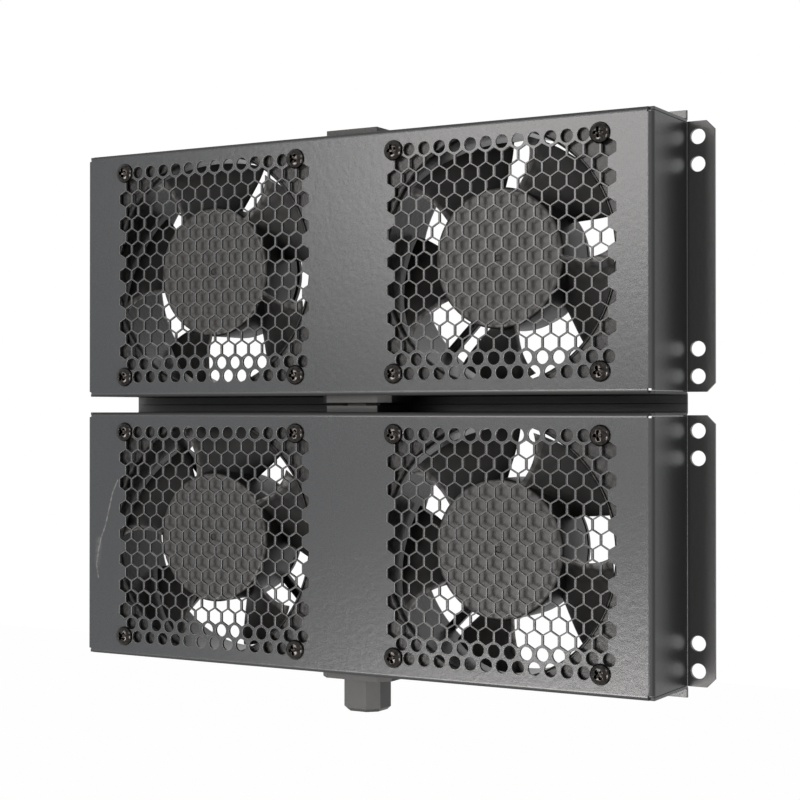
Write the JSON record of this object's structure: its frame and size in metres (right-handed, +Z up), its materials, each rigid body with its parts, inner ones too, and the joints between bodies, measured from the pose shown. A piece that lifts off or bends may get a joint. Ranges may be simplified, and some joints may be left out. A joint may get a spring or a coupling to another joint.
{
  "type": "rack fan tray",
  "caption": "Stacked rack modules of folded sheet steel with axial fans behind punched hexagonal grilles, rear ears, and a plug and socket that join one module to the next.",
  "frame": {"origin": "midway between the two modules, in the plane of the ears' rear faces, on the centre line", "axes": "+X to the right seen from the front, +Y to the rear, +Z up"},
  "size_m": [0.3406, 0.0435, 0.282],
  "materials": {
    "tray_steel": "fine-textured black powder coat",
    "fan_casting": "satin black on die-cast aluminium",
    "rotor_black": "satin black",
    "motor_steel": "laminated steel",
    "shaft_steel": "ground",
    "connector_plastic": "satin black thermoplastic",
    "contact_metal": "plated"
  },
  "bodies": {
    "housing": {"upper_tray": "tray_steel", "upper_socket": "connector_plastic", "upper_socket_pins": "contact_metal", "upper_plug": "connector_plastic", "upper_plug_sleeves": "contact_metal", "lower_tray": "tray_steel", "lower_socket": "connector_plastic", "lower_socket_pins": "contact_metal", "lower_plug": "connector_plastic", "lower_plug_sleeves": "contact_metal", "upper_left_frame": "fan_casting", "upper_left_stator": "motor_steel", "upper_left_terminal_block": "connector_plastic", "upper_left_terminal_tabs": "contact_metal", "upper_right_frame": "fan_casting", "upper_right_stator": "motor_steel", "upper_right_terminal_block": "connector_plastic", "upper_right_terminal_tabs": "contact_metal", "lower_left_frame": "fan_casting", "lower_left_stator": "motor_steel", "lower_left_terminal_block": "connector_plastic", "lower_left_terminal_tabs": "contact_metal", "lower_right_frame": "fan_casting", "lower_right_stator": "motor_steel", "lower_right_terminal_block": "connector_plastic", "lower_right_terminal_tabs": "contact_metal"},
    "upper_left_rotor": {"upper_left_impeller": "rotor_black", "upper_left_shaft": "shaft_steel"},
    "upper_right_rotor": {"upper_right_impeller": "rotor_black", "upper_right_shaft": "shaft_steel"},
    "lower_left_rotor": {"lower_left_impeller": "rotor_black", "lower_left_shaft": "shaft_steel"},
    "lower_right_rotor": {"lower_right_impeller": "rotor_black", "lower_right_shaft": "shaft_steel"}
  },
  "joints": [
    {"name": "upper_left_spin", "type": "hinge", "parent": "housing", "child": "upper_left_rotor", "pos_m": [-0.08, -0.024, 0.06667], "axis": [0, 1, 0], "continuous": true},
    {"name": "upper_right_spin", "type": "hinge", "parent": "housing", "child": "upper_right_rotor", "pos_m": [0.08, -0.024, 0.06667], "axis": [0, 1, 0], "continuous": true},
    {"name": "lower_left_spin", "type": "hinge", "parent": "housing", "child": "lower_left_rotor", "pos_m": [-0.08, -0.024, -0.06667], "axis": [0, 1, 0], "continuous": true},
    {"name": "lower_right_spin", "type": "hinge", "parent": "housing", "child": "lower_right_rotor", "pos_m": [0.08, -0.024, -0.06667], "axis": [0, 1, 0], "continuous": true}
  ]
}
